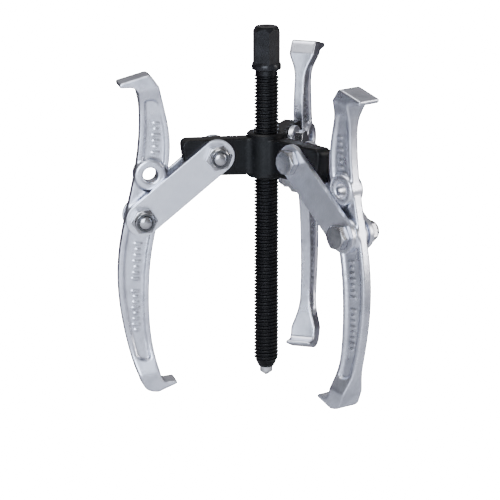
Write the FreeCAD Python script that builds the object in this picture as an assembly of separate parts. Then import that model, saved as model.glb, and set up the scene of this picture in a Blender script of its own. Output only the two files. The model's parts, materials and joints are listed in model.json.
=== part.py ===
import FreeCAD, Part
import math
import os
from FreeCAD import Rotation, Vector

# Three-jaw gear puller, in millimetres.
# The origin is the tip of the centre point, on the axis of the forcing screw, and +Z runs up the screw.
# An arm is drawn with its reach along +X, its pivot bolts along Y and its lower claw down. Then it is turned
# about Z to its heading. The nuts are on the +Y side of a drawn arm and the bolt heads on its -Y side.

# Pose at rest, in degrees: an arm's heading about the screw, how far its straps slope down from level,
# how far the top of its jaw leans towards the screw, and the turn of its two nuts on their bolts
arm_headings = {"left": 180.0, "right": 300.0, "rear": 60.0}
strap_slopes = {"left": 39.0, "right": 40.0, "rear": 33.8}
jaw_leans = {"left": 11.1, "right": 10.5, "rear": 12.6}
nut_turns = {"left": (11.0, 4.0), "right": (2.0, 14.0), "rear": (22.0, 8.0)}

# Fits
pivot_clearance = 0.05  # radial, between a pivot bolt and the yoke, jaw or strap that it passes through
side_clearance = 0.2  # between a strap and the yoke arm or jaw boss beside it
screw_clearance = 0.06  # radial, between the thread crests and the yoke's bore
point_clearance = 0.05  # radial, between the centre point and the bore in the screw's nose
nut_clearance = 0.02  # radial, between a bolt and its nut or insert

# Yoke
yoke_pivot_radius = 29.1
yoke_reach = 49.3
yoke_arm_thickness = 10.0
yoke_arm_top = 9.1  # above the pivot axes, at the screw
yoke_arm_bottom = 12.2  # below the pivot axes, at the screw
yoke_end_top = 9.3  # above the pivot axes, at the arm's end
yoke_end_bottom = 11.4  # below the pivot axes, at the arm's end
yoke_end_slant = 2.8
yoke_upper_corner = 3.6
yoke_lower_corner = 2.2
yoke_edge_round = 1.2
hub_radius = 11.1
hub_top = 11.5  # above the pivot axes
hub_bottom = 13.6  # below the pivot axes
hub_root_round = 5.5
hub_chamfer = 0.8

# Forcing screw
screw_radius = 7.0
thread_pitch = 2.0
thread_depth = 1.15
thread_length = 162.0
thread_flank_share = 0.3  # of the pitch
thread_crest_share = 0.14  # of the pitch
neck_length = 3.0
neck_step = 0.7  # below the thread crests
collar_step = 1.4  # beyond the thread crests
collar_height = 4.3
collar_edge = 0.8
screw_hex_flats = 14.0
screw_hex_height = 20.2
screw_hex_turn = 29.0
hex_top_radius = 6.3
hex_chamfer_height = 2.6
head_dimple_radius = 2.2
head_dimple_depth = 1.2
nose_length = 6.0
nose_wall = 0.8  # round the centre point
screw_extension = 46.9  # from the pivot axes up to the underside of the collar, at rest

# Centre point and thrust ball, held in the nose of the screw
point_radius = 3.65
point_exposed = 5.2
point_tip_radius = 0.5
point_cone_height = 2.3
point_groove_depth = 0.5
point_shank_length = 7.2
lip_length = 1.0
groove_play = 0.2
ball_radius = 2.5
ball_seat_clearance = 0.03
ball_height_share = 0.48  # height of the ball's centre over the point's top, as a share of its radius
drill_half_angle = 59.0

# Straps
strap_pitch = 54.5
strap_width = 19.0
strap_thickness = 3.0
strap_edge_chamfer = 0.35

# Pivot bolts and lock nuts
bolt_radius = 4.0
bolt_flats = 13.0
bolt_head_height = 5.3
bolt_end_dome = 1.3
bolt_end_chamfer = 0.4
bolt_past_nut = 1.1
nut_hex_height = 5.2
nut_collar_height = 2.5
nut_mouth_play = 0.9  # radial, round the bolt
insert_height = 2.0
insert_width = 1.2
nut_collar_round = 1.5
nut_collar_wall = 0.85
nut_roll_bulge = 0.2  # share of the rounding by which the rolled rim bulges
nut_lip_width = 0.25
hexagon_bevel_angle = 30.0
hexagon_face_share = 0.97  # radius of a bevelled end face, as a share of half the width across flats

# Jaws
jaw_hole_pitch = 25.0
jaw_boss_radius = 9.0
jaw_hole_chamfer = 0.8
jaw_boss_round = 0.8
flange_thickness = 6.0
channel_depth = 1.2
rib_width = 3.0
claw_width = 14.8
upper_shank = 75.6  # from the pivot up to the root of the upper claw
lower_shank = 84.8  # from the pivot down to the root of the lower claw

# The shank's edges: distance out from the pivot line, and share of the upper or lower shank
inner_edge = [(5.0, 1.0), (-2.4, 0.80), (-7.9, 0.59), (-9.8, 0.33), (-9.5, 0.0),
              (-9.8, -0.27), (-12.4, -0.50), (-17.5, -0.75), (-26.2, -1.0)]
outer_edge = [(14.0, 0.862), (10.4, 0.64), (8.5, 0.27), (9.2, -0.09), (8.2, -0.31),
              (4.7, -0.52), (-1.0, -0.72), (-9.0, -0.93), (-16.9, -1.084)]

# The corners of each claw, out and up from the inner end of the shank, with the radius of each corner
upper_claw = [((6.2, 5.8), 3.0), ((22.4, -2.3), 0.4), ((21.6, -4.8), 0.7), ((12.0, -2.9), 4.5)]
lower_claw = [((-2.6, -6.0), 3.0), ((-10.1, -3.6), 0.4), ((-11.6, -5.0), 0.7), ((-1.0, -12.2), 4.5),
              ((6.4, -12.3), 6.0)]

# Where the shank widens into each claw, along the shank from the pivot, and the shank's slant there
upper_flare = {"start": 0.74, "end": 0.965, "slant": 20.0}
lower_flare = {"start": 0.80, "end": 1.06, "slant": 20.0}
upper_channel = (0.34, 0.85)
lower_channel = (0.02, 0.91)
channel_steps = 6
flare_bend = 0.55  # where the widening starts to curve, as a share of its length
flare_rise = 0.7  # where it is nearly as wide as the claw, as a share of its length
flare_short = 1.2  # how much narrower than the claw it is there, on one side
channel_end_round = 3.0
channel_run_out = 9.5  # over which the floor rises to the surface at the claw end
pivot_overlap = 6.0  # how far the side cuts of the upper and lower shank pass the pivot

overshoot = 1.0  # how far a cutting tool passes the face that it starts from

# Sizes that follow from the ones above
nose_radius = point_radius + nose_wall
neck_radius = screw_radius - neck_step
collar_radius = screw_radius + collar_step
point_groove_radius = point_radius - point_groove_depth
nut_mouth_radius = bolt_radius + nut_mouth_play
nut_collar_radius = nut_mouth_radius + nut_collar_wall
insert_radius = bolt_radius + insert_width
jaw_boss_thickness = yoke_arm_thickness  # so that the straps close on both alike
pivot_height = point_exposed + nose_length + thread_length + neck_length - screw_extension
strap_face = yoke_arm_thickness / 2 + side_clearance
strap_outer_face = strap_face + strap_thickness
pivot_hole_radius = bolt_radius + pivot_clearance


def unit_at(degrees):
    """A horizontal unit vector at an angle from +X."""
    angle = math.radians(degrees)
    return Vector(math.cos(angle), math.sin(angle), 0)


def upright(x, z):
    """A point of a drawing in the XZ plane."""
    return Vector(x, 0, z)


def line(start, end):
    return Part.makeLine(start, end)


def arc(start, middle, end):
    return Part.Arc(start, middle, end).toShape()


def face_of(edges):
    return Part.Face(Part.Wire(Part.__sortEdges__(edges)))


def corner_path(start, corners, end):
    """Edges from start to end, turning at each corner on an arc of its radius."""
    edges = []
    here = start
    for number, (corner, radius) in enumerate(corners):
        after = corners[number + 1][0] if number + 1 < len(corners) else end
        back = (here - corner).normalize()
        ahead = (after - corner).normalize()
        half_angle = back.getAngle(ahead) / 2
        first = corner + back * (radius / math.tan(half_angle))
        last = corner + ahead * (radius / math.tan(half_angle))
        centre = corner + (back + ahead).normalize() * (radius / math.sin(half_angle))
        middle = centre + (corner - centre).normalize() * radius
        edges.append(line(here, first))
        edges.append(arc(first, middle, last))
        here = last
    edges.append(line(here, end))
    return edges


def spline(points):
    curve = Part.BSplineCurve()
    curve.interpolate(points)
    return curve


def turned(face):
    """A solid of revolution about Z from a face drawn in the XZ plane."""
    return face.revolve(Vector(0, 0, 0), Vector(0, 0, 1), 360)


def turned_outline(profile):
    """A solid of revolution about Z from a closed list of (radius, height)."""
    points = [upright(radius, height) for radius, height in profile]
    return turned(Part.Face(Part.makePolygon(points + points[:1])))


def rod(radius, bottom, top):
    return Part.makeCylinder(radius, top - bottom, Vector(0, 0, bottom))


def hexagon_corner(flats):
    return flats / 2 / math.cos(math.radians(30))


def hexagon_bar(flats, bottom, top, turn):
    start = Vector(0, 0, bottom)
    points = [start + unit_at(turn + 60 * side) * hexagon_corner(flats) for side in range(7)]
    return Part.Face(Part.makePolygon(points)).extrude(Vector(0, 0, top - bottom))


def bevelled_hexagon(flats, bottom, top, turn):
    """A hexagon with its corners turned down at both ends."""
    corner_radius = hexagon_corner(flats)
    face_radius = flats / 2 * hexagon_face_share
    drop = (corner_radius - face_radius) * math.tan(math.radians(hexagon_bevel_angle))
    envelope = turned_outline([(0, bottom), (face_radius, bottom), (corner_radius, bottom + drop),
                               (corner_radius, top - drop), (face_radius, top), (0, top)])
    return hexagon_bar(flats, bottom, top, turn).common(envelope)


def along_pivot(shape):
    """Lays a piece that was made along +Z on the arm's +Y direction."""
    laid = shape.copy()
    laid.rotate(Vector(0, 0, 0), Vector(1, 0, 0), -90)
    return laid


# The yoke: a hub with three arms, each with a pivot hole near its end

def yoke_section():
    """The arms' side view, from the screw's axis out to the end of an arm."""
    lower_corner = (upright(yoke_reach - yoke_end_slant, -yoke_end_bottom), yoke_lower_corner)
    upper_corner = (upright(yoke_reach, yoke_end_top), yoke_upper_corner)
    low_start = upright(0, -yoke_arm_bottom)
    high_end = upright(0, yoke_arm_top)
    edges = corner_path(low_start, [lower_corner, upper_corner], high_end)
    return face_of(edges + [line(high_end, low_start)])


def make_yoke_arm():
    """An arm along +X, flared by an inside round on each side where it meets the hub."""
    half = yoke_arm_thickness / 2
    centre_distance = hub_radius + hub_root_round
    root = math.sqrt(centre_distance ** 2 - (half + hub_root_round) ** 2)
    round_centre = Vector(root, half + hub_root_round, 0)
    arm_point = Vector(root, half, 0)
    hub_point = round_centre * (hub_radius / centre_distance)
    towards_arm = (arm_point + hub_point) * 0.5 - round_centre
    round_middle = round_centre + towards_arm.normalize() * hub_root_round
    tip = Vector(yoke_reach + hub_radius, half, 0)
    sides = []
    for side in (1, -1):
        sides.append([Vector(point.x, point.y * side, -hub_bottom)
                      for point in (tip, arm_point, round_middle, hub_point)])
    edges = [line(sides[0][0], sides[1][0]), line(sides[0][3], sides[1][3])]
    for end, start, middle, finish in sides:
        edges.append(line(end, start))
        edges.append(arc(start, middle, finish))
    plan = face_of(edges)
    arm = plan.extrude(Vector(0, 0, hub_bottom + hub_top)).common(turned(yoke_section()))
    outline = [edge for edge in arm.Edges if edge.BoundBox.XMax > hub_point.x + 0.01
               and edge.BoundBox.XLength + edge.BoundBox.YLength > 0.01]
    return arm.makeFillet(yoke_edge_round, outline)


def make_yoke():
    arm = make_yoke_arm()
    hub = turned_outline([(0, -hub_bottom), (hub_radius - hub_chamfer, -hub_bottom),
                          (hub_radius, hub_chamfer - hub_bottom), (hub_radius, hub_top - hub_chamfer),
                          (hub_radius - hub_chamfer, hub_top), (0, hub_top)])
    bore_radius = screw_radius + screw_clearance
    bore = turned_outline([(0, -hub_bottom - 1), (bore_radius + hub_chamfer + 1, -hub_bottom - 1),
                           (bore_radius, hub_chamfer - hub_bottom), (bore_radius, hub_top - hub_chamfer),
                           (bore_radius + hub_chamfer + 1, hub_top + 1), (0, hub_top + 1)])
    yoke = hub
    for heading in arm_headings.values():
        placed = arm.copy()
        placed.rotate(Vector(0, 0, 0), Vector(0, 0, 1), heading)
        yoke = yoke.fuse(placed)
    yoke = yoke.cut(bore)
    for heading in arm_headings.values():
        hole = along_pivot(rod(pivot_hole_radius, -yoke_arm_thickness, yoke_arm_thickness))
        hole.translate(upright(yoke_pivot_radius, 0))
        hole.rotate(Vector(0, 0, 0), Vector(0, 0, 1), heading)
        yoke = yoke.cut(hole)
    return yoke


# The forcing screw and the centre point in its nose, measured from the tip of the point

def thread_profile(bottom, top):
    """Crests and roots of the thread, as (radius, height) from bottom to top."""
    root_radius = screw_radius - thread_depth
    flank = thread_pitch * thread_flank_share
    crest = thread_pitch * thread_crest_share
    turns = int((top - bottom) / thread_pitch)
    profile = []
    for number in range(turns):
        start = bottom + number * thread_pitch
        profile.append((screw_radius, start))
        profile.append((screw_radius, start + crest))
        profile.append((root_radius, start + crest + flank))
        profile.append((root_radius, start + thread_pitch - flank))
    return profile + [(screw_radius, bottom + turns * thread_pitch)]


def make_screw():
    mouth = point_exposed
    thread_bottom = mouth + nose_length
    thread_end = thread_bottom + thread_length
    collar_bottom = thread_end + neck_length
    collar_top = collar_bottom + collar_height
    head_top = collar_top + screw_hex_height
    corner_radius = hexagon_corner(screw_hex_flats)
    root_radius = screw_radius - thread_depth
    profile = [(0, mouth), (nose_radius, mouth), (root_radius, thread_bottom - thread_pitch)]
    profile += thread_profile(thread_bottom, thread_end)
    profile += [(neck_radius, thread_end + neck_length / 3), (neck_radius, collar_bottom),
                (collar_radius - collar_edge, collar_bottom), (collar_radius, collar_bottom + collar_edge),
                (collar_radius, collar_bottom + collar_height / 2), (corner_radius, collar_top),
                (0, collar_top)]
    stem = turned_outline(profile)
    head_bottom = collar_bottom + collar_edge
    envelope = turned_outline([(0, head_bottom), (corner_radius, head_bottom),
                               (corner_radius, head_top - hex_chamfer_height), (hex_top_radius, head_top),
                               (0, head_top)])
    head = hexagon_bar(screw_hex_flats, head_bottom, head_top, screw_hex_turn).common(envelope)
    dimple_bottom = head_top - head_dimple_depth
    dimple = turned_outline([(0, dimple_bottom), (head_dimple_radius, head_top), (0, head_top)])
    bore_radius = point_radius + point_clearance
    shank_top = mouth + lip_length + groove_play + point_shank_length
    ball_height = shank_top + ball_seat_offset()
    apex = ball_height + seat_depth()
    bore = turned_outline([(0, mouth + lip_length), (bore_radius, mouth + lip_length),
                           (bore_radius, apex - bore_radius / math.tan(math.radians(drill_half_angle))),
                           (0, apex)])
    throat = rod(point_groove_radius + point_clearance, mouth - overshoot, mouth + lip_length + overshoot)
    return stem.fuse(head).cut(dimple).cut(bore.fuse(throat))


def seat_depth():
    """From the ball's centre to the tip of the drilled cone that it seats in."""
    return (ball_radius + ball_seat_clearance) / math.sin(math.radians(drill_half_angle))


def ball_seat_offset():
    """From the flat top of the centre point up to the ball's centre."""
    return ball_radius * ball_height_share


def make_centre_point():
    groove_bottom = point_exposed - groove_play
    groove_top = point_exposed + lip_length + groove_play
    shank_top = groove_top + point_shank_length
    seat_tip = shank_top + ball_seat_offset() - seat_depth()
    seat_radius = (shank_top - seat_tip) * math.tan(math.radians(drill_half_angle))
    return turned_outline([(0, 0), (point_tip_radius, 0), (point_radius, point_cone_height),
                           (point_radius, groove_bottom), (point_groove_radius, groove_bottom),
                           (point_groove_radius, groove_top), (point_radius, groove_top),
                           (point_radius, shank_top), (seat_radius, shank_top), (0, seat_tip)])


def make_thrust_ball():
    shank_top = point_exposed + lip_length + groove_play + point_shank_length
    return Part.makeSphere(ball_radius, Vector(0, 0, shank_top + ball_seat_offset()))


# Straps, bolts and nuts, with the inner pivot of the strap at the origin

def make_strap(side):
    """A flat bar with round ends, on the nut side (+1) or the head side (-1) of the arm."""
    half = strap_width / 2
    top_left, top_right = upright(0, half), upright(strap_pitch, half)
    low_left, low_right = upright(0, -half), upright(strap_pitch, -half)
    face = face_of([line(top_left, top_right), arc(top_right, upright(strap_pitch + half, 0), low_right),
                    line(low_right, low_left), arc(low_left, upright(-half, 0), top_left)])
    plate = face.extrude(Vector(0, strap_thickness, 0))
    rims = [edge for edge in plate.Edges if edge.BoundBox.YLength < strap_thickness / 2]
    plate = plate.makeChamfer(strap_edge_chamfer, rims)
    for distance in (0, strap_pitch):
        hole = along_pivot(rod(pivot_hole_radius, -1, strap_thickness + 1))
        hole.translate(upright(distance, 0))
        plate = plate.cut(hole)
    plate.translate(Vector(0, strap_face if side > 0 else -strap_outer_face, 0))
    return plate


def make_bolt():
    nut_top = strap_outer_face + nut_hex_height + nut_collar_height
    end = nut_top + bolt_past_nut
    rim = end - bolt_end_dome
    rim_radius = bolt_radius - bolt_end_chamfer
    dome_radius = (rim_radius ** 2 + bolt_end_dome ** 2) / (2 * bolt_end_dome)
    half_spread = math.asin(rim_radius / dome_radius) / 2
    dome_drop = dome_radius * (1 - math.cos(half_spread))
    dome_middle = upright(dome_radius * math.sin(half_spread), end - dome_drop)
    chamfer_start = upright(bolt_radius, rim - bolt_end_chamfer)
    under_head = -strap_outer_face
    shank = turned(face_of([line(upright(0, under_head), upright(bolt_radius, under_head)),
                            line(upright(bolt_radius, under_head), chamfer_start),
                            line(chamfer_start, upright(rim_radius, rim)),
                            arc(upright(rim_radius, rim), dome_middle, upright(0, end)),
                            line(upright(0, end), upright(0, under_head))]))
    head = bevelled_hexagon(bolt_flats, under_head - bolt_head_height, under_head, 0)
    return along_pivot(shank.fuse(head))


def make_nut(turn):
    hex_top = strap_outer_face + nut_hex_height
    collar_top = hex_top + nut_collar_height
    base = strap_outer_face + overshoot
    shoulder = upright(nut_collar_radius, collar_top - nut_collar_round)
    lip = upright(nut_mouth_radius + nut_lip_width, collar_top)
    roll_middle = (shoulder + lip) * 0.5 + upright(nut_collar_round, nut_collar_round) * nut_roll_bulge
    collar = turned(face_of([line(upright(0, base), upright(nut_collar_radius, base)),
                             line(upright(nut_collar_radius, base), shoulder),
                             arc(shoulder, roll_middle, lip), line(lip, upright(0, collar_top)),
                             line(upright(0, collar_top), upright(0, base))]))
    hexagon = bevelled_hexagon(bolt_flats, strap_outer_face, hex_top, turn)
    bore = rod(bolt_radius + nut_clearance, strap_outer_face - overshoot, collar_top + overshoot)
    pocket = rod(insert_radius, hex_top, hex_top + insert_height)
    mouth = rod(nut_mouth_radius, hex_top, collar_top + overshoot)
    return along_pivot(hexagon.fuse(collar).cut(bore.fuse(pocket).fuse(mouth)))


def make_insert():
    hex_top = strap_outer_face + nut_hex_height
    ring = rod(insert_radius, hex_top, hex_top + insert_height)
    bore = rod(bolt_radius + nut_clearance, hex_top - overshoot, hex_top + insert_height + overshoot)
    return along_pivot(ring.cut(bore))


# A jaw, with its working pivot at the origin and its spare pivot hole above it on the Z axis

def shank_point(entry):
    """Places a point of a shank edge: its height is a share of the upper or the lower shank."""
    out, share = entry
    return upright(out, share * (upper_shank if share > 0 else lower_shank))


def jaw_outline():
    inner = spline([shank_point(entry) for entry in inner_edge]).toShape()
    outer = spline([shank_point(entry) for entry in outer_edge]).toShape()
    top_root, low_root = shank_point(inner_edge[0]), shank_point(inner_edge[-1])
    top_back, low_back = shank_point(outer_edge[0]), shank_point(outer_edge[-1])
    high = [(top_root + upright(*offset), radius) for offset, radius in upper_claw]
    low = [(low_root + upright(*offset), radius) for offset, radius in lower_claw]
    claws = corner_path(top_root, high, top_back) + corner_path(low_root, low, low_back)
    return face_of([inner, outer] + claws)


def flare_cutter(flare, reach, up):
    """What is taken from one side of the blank, so that the shank is thin up to the claw."""
    half_flange = flange_thickness / 2
    half_claw = claw_width / 2
    start = flare["start"] * reach
    end = flare["end"] * reach
    past_claw = half_claw + side_clearance
    beyond = half_claw + overshoot
    widening = Part.BezierCurve()
    bend = start + (end - start) * flare_bend
    rise = start + (end - start) * flare_rise
    widening.setPoles([Vector(0, half_flange, start), Vector(0, half_flange, bend),
                       Vector(0, half_claw - flare_short, rise), Vector(0, past_claw, end)])
    face = face_of([line(Vector(0, half_flange, -pivot_overlap), Vector(0, half_flange, start)),
                    widening.toShape(), line(Vector(0, past_claw, end), Vector(0, beyond, end)),
                    line(Vector(0, beyond, end), Vector(0, beyond, -pivot_overlap)),
                    line(Vector(0, beyond, -pivot_overlap), Vector(0, half_flange, -pivot_overlap))])
    half_depth = max(reach, claw_width)
    block = face.extrude(Vector(2 * half_depth, 0, 0))
    block.translate(Vector(-half_depth, 0, 0))
    if not up:
        block.rotate(Vector(0, 0, 0), Vector(0, 1, 0), 180)
    block.rotate(Vector(0, 0, 0), Vector(0, 1, 0), flare["slant"])
    return block


def edge_inset(entries, heights, inset):
    """Points inside one edge of the shank, at the given heights."""
    curve = spline([shank_point(entry) for entry in entries])
    low, high = curve.FirstParameter, curve.LastParameter
    falling = curve.value(low).z > curve.value(high).z
    points = []
    for height in heights:
        lower, upper = low, high
        for _ in range(40):
            middle = (lower + upper) / 2
            above = curve.value(middle).z > height
            if above == falling:
                lower = middle
            else:
                upper = middle
        tangent = Vector(*curve.tangent(lower)[0])
        normal = Vector(tangent.z, 0, -tangent.x)
        if normal.x * inset < 0:
            normal = normal * -1
        points.append(curve.value(lower) + normal * abs(inset))
    return points


def channel_depths(start, end):
    """What lies above the channel's floor, seen from the side: level, then rising towards the claw."""
    floor = flange_thickness / 2 - channel_depth
    along = 1 if end > start else -1
    near = start - along * (channel_end_round + overshoot)
    rise_start = end - along * channel_run_out
    rise_length = along * (channel_run_out + channel_end_round)
    brow = Vector(0, floor + claw_width, rise_start + rise_length * claw_width / channel_depth)
    corners = [Vector(0, floor, near), Vector(0, floor, rise_start), brow, Vector(0, brow.y, near)]
    reach = max(upper_shank, lower_shank)
    block = Part.Face(Part.makePolygon(corners + corners[:1])).extrude(Vector(2 * reach, 0, 0))
    block.translate(Vector(-reach, 0, 0))
    return block


def channel(shares, reach):
    """The sunk panel between the two ribs of the shank."""
    bottom, top = sorted(share * reach for share in shares)
    heights = [bottom + (top - bottom) * step / channel_steps for step in range(channel_steps + 1)]
    inner = edge_inset(inner_edge, heights, rib_width)
    outer = edge_inset(outer_edge, heights, -rib_width)
    crown = (inner[-1] + outer[-1]) * 0.5 + upright(0, channel_end_round)
    toe = (inner[0] + outer[0]) * 0.5 - upright(0, channel_end_round)
    face = face_of([spline(inner).toShape(), spline(outer).toShape(), arc(inner[-1], crown, outer[-1]),
                    arc(inner[0], toe, outer[0])])
    panel = face.extrude(Vector(0, claw_width, 0))
    return panel.common(channel_depths(shares[0] * reach, shares[1] * reach))


def make_jaw():
    blank = jaw_outline().extrude(Vector(0, claw_width, 0))
    blank.translate(Vector(0, -claw_width / 2, 0))
    tools = [flare_cutter(upper_flare, upper_shank, True),
             flare_cutter(lower_flare, lower_shank, False),
             channel(upper_channel, upper_shank),
             channel(lower_channel, -lower_shank)]
    for side in (1, -1):
        for tool in tools:
            blank = blank.cut(tool if side > 0 else tool.mirror(Vector(0, 0, 0), Vector(0, 1, 0)))
    half_boss = jaw_boss_thickness / 2
    mouth = pivot_hole_radius + jaw_hole_chamfer
    for height in (0, jaw_hole_pitch):
        boss = turned_outline([(0, -half_boss), (jaw_boss_radius - jaw_boss_round, -half_boss),
                               (jaw_boss_radius, jaw_boss_round - half_boss),
                               (jaw_boss_radius, half_boss - jaw_boss_round),
                               (jaw_boss_radius - jaw_boss_round, half_boss), (0, half_boss)])
        hole = turned_outline([(0, -half_boss - overshoot), (mouth + overshoot, -half_boss - overshoot),
                               (pivot_hole_radius, jaw_hole_chamfer - half_boss),
                               (pivot_hole_radius, half_boss - jaw_hole_chamfer),
                               (mouth + overshoot, half_boss + overshoot), (0, half_boss + overshoot)])
        boss = along_pivot(boss)
        hole = along_pivot(hole)
        boss.translate(upright(0, height))
        hole.translate(upright(0, height))
        blank = blank.fuse(boss).cut(hole)
    return blank


# Assembly

def place_on_arm(shape, name, distance=0.0, lean=0.0):
    """Puts a drawn piece on its arm: out along the straps, turned, then swung to the arm's heading."""
    slope = math.radians(strap_slopes[name])
    placed = shape.copy()
    placed.rotate(Vector(0, 0, 0), Vector(0, 1, 0), lean)
    out = yoke_pivot_radius + distance * math.cos(slope)
    placed.translate(upright(out, pivot_height - distance * math.sin(slope)))
    placed.rotate(Vector(0, 0, 0), Vector(0, 0, 1), arm_headings[name])
    return placed


def build():
    """Every piece of the puller, by name."""
    yoke = make_yoke()
    yoke.translate(Vector(0, 0, pivot_height))
    pieces = {"yoke": yoke, "forcing_screw": make_screw(), "centre_point": make_centre_point(),
              "thrust_ball": make_thrust_ball()}
    bolt, insert, jaw = make_bolt(), make_insert(), make_jaw()
    for name in arm_headings:
        slope = strap_slopes[name]
        pieces[name + "_strap_nut_side"] = place_on_arm(make_strap(1), name, 0, slope)
        pieces[name + "_strap_head_side"] = place_on_arm(make_strap(-1), name, 0, slope)
        pieces[name + "_jaw"] = place_on_arm(jaw, name, strap_pitch, -jaw_leans[name])
        ends = (("yoke", 0, nut_turns[name][0]), ("jaw", strap_pitch, nut_turns[name][1]))
        for end, distance, nut_turn in ends:
            pieces[name + "_" + end + "_bolt"] = place_on_arm(bolt, name, distance)
            pieces[name + "_" + end + "_nut"] = place_on_arm(make_nut(nut_turn), name, distance)
            pieces[name + "_" + end + "_nut_insert"] = place_on_arm(insert, name, distance)
    return pieces


def main():
    os.makedirs("parts", exist_ok=True)
    for name, shape in build().items():
        print(name, shape.ShapeType, len(shape.Solids), shape.isValid(), round(shape.Volume, 1))
        shape.exportStep("parts/" + name + ".step")


main()
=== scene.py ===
import json
import logging
import math
from dataclasses import dataclass
from enum import Enum
from typing import Any, Dict, List, Mapping, Optional, Sequence, Tuple, Union

import bpy
from mathutils import Matrix, Vector


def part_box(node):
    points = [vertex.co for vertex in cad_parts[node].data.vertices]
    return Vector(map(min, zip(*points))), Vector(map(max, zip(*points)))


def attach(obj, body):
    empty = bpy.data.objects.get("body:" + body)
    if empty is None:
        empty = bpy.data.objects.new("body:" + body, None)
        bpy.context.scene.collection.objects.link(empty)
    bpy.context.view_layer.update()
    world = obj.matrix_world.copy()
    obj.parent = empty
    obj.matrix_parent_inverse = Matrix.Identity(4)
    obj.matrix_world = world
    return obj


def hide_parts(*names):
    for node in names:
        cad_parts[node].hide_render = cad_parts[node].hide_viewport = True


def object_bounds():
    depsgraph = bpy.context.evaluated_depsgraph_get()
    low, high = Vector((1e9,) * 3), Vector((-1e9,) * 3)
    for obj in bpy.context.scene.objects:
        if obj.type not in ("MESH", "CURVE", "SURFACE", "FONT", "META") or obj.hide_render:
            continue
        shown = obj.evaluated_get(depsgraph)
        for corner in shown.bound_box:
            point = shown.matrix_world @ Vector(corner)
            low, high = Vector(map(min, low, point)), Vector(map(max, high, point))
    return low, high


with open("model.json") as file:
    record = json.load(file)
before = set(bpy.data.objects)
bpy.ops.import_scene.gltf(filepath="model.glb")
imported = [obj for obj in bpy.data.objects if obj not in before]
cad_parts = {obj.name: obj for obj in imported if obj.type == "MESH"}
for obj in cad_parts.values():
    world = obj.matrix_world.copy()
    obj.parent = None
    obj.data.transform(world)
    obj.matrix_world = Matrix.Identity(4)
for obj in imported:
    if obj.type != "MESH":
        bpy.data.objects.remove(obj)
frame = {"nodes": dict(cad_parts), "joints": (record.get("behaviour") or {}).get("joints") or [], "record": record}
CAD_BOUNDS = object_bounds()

LOG = logging.getLogger("gear_puller")
Point = Tuple[float, float]
Colour = Tuple[float, float, float]
Object = bpy.types.Object
Spot = Tuple[float, float, float]
WHITE: Colour = (1.0, 1.0, 1.0)

# The gap within which vertices of one piece are merged
MERGE_GAP = 0.00001

# The turn that lays an upright cylinder along Y
LAID: Spot = (math.pi / 2, 0.0, 0.0)


class Arm(Enum):
    """The three arms of the puller."""

    LEFT = "left"
    RIGHT = "right"
    REAR = "rear"


class End(Enum):
    """The two pivots of a pair of straps."""

    YOKE = "yoke"
    JAW = "jaw"


class Side(Enum):
    """The two sides of an arm, as the sign of the direction along its bolts."""

    NUT = 1
    HEAD = -1


class Slot(Enum):
    """The material slots named in the record."""

    BLACK = "blackened_steel"
    BRIGHT = "bright_steel"
    JAWS = "plated_jaws"
    STRAPS = "plated_straps"
    FASTENERS = "plated_fasteners"
    NYLON = "nylon"


class Cut(Enum):
    """How one solid changes another."""

    UNION = "UNION"
    DIFFERENCE = "DIFFERENCE"
    INTERSECT = "INTERSECT"


# Shaders

Value = Union["Wire", float]


class Wire:
    """A shader socket that can be used in plain arithmetic."""

    def __init__(self, graph: "Graph", socket: bpy.types.NodeSocket) -> None:
        self.graph = graph
        self.socket = socket

    def _math(self, operation: str, *values: Value) -> "Wire":
        """Makes a Math node.

        Args:
            operation: What the node works out.
            values: Wires and numbers, in the order of its sockets.

        Returns:
            The node's result.
        """
        inputs = dict(enumerate(values))
        node = self.graph.node("ShaderNodeMath", {"operation": operation}, inputs)
        return self.graph.wire(node, "Value")

    def __add__(self, other: Value) -> "Wire":
        return self._math("ADD", self, other)

    def __radd__(self, other: Value) -> "Wire":
        return self._math("ADD", other, self)

    def __sub__(self, other: Value) -> "Wire":
        return self._math("SUBTRACT", self, other)

    def __rsub__(self, other: Value) -> "Wire":
        return self._math("SUBTRACT", other, self)

    def __mul__(self, other: Value) -> "Wire":
        return self._math("MULTIPLY", self, other)

    def __rmul__(self, other: Value) -> "Wire":
        return self._math("MULTIPLY", other, self)

    def __truediv__(self, other: Value) -> "Wire":
        return self._math("DIVIDE", self, other)

    def __rtruediv__(self, other: Value) -> "Wire":
        return self._math("DIVIDE", other, self)

    def __pow__(self, other: Value) -> "Wire":
        return self._math("POWER", self, other)

    def limited(self, low: float = 0.0, high: float = 1.0) -> "Wire":
        """Keeps the value between two limits.

        Args:
            low: The smallest value let through.
            high: The largest value let through.

        Returns:
            The limited value.
        """
        return self._math("MINIMUM", self._math("MAXIMUM", self, low), high)

    def ramp(self, start: float, end: float) -> "Wire":
        """Rises smoothly from 0 at start to 1 at end.

        Args:
            start: The value at which the result leaves 0.
            end: The value at which the result reaches 1.

        Returns:
            The ramped value.
        """
        inputs = {"Value": self, "From Min": start, "From Max": end, "To Min": 0.0, "To Max": 1.0}
        node = self.graph.node("ShaderNodeMapRange", {"interpolation_type": "SMOOTHSTEP"}, inputs)
        return self.graph.wire(node, "Result")


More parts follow.
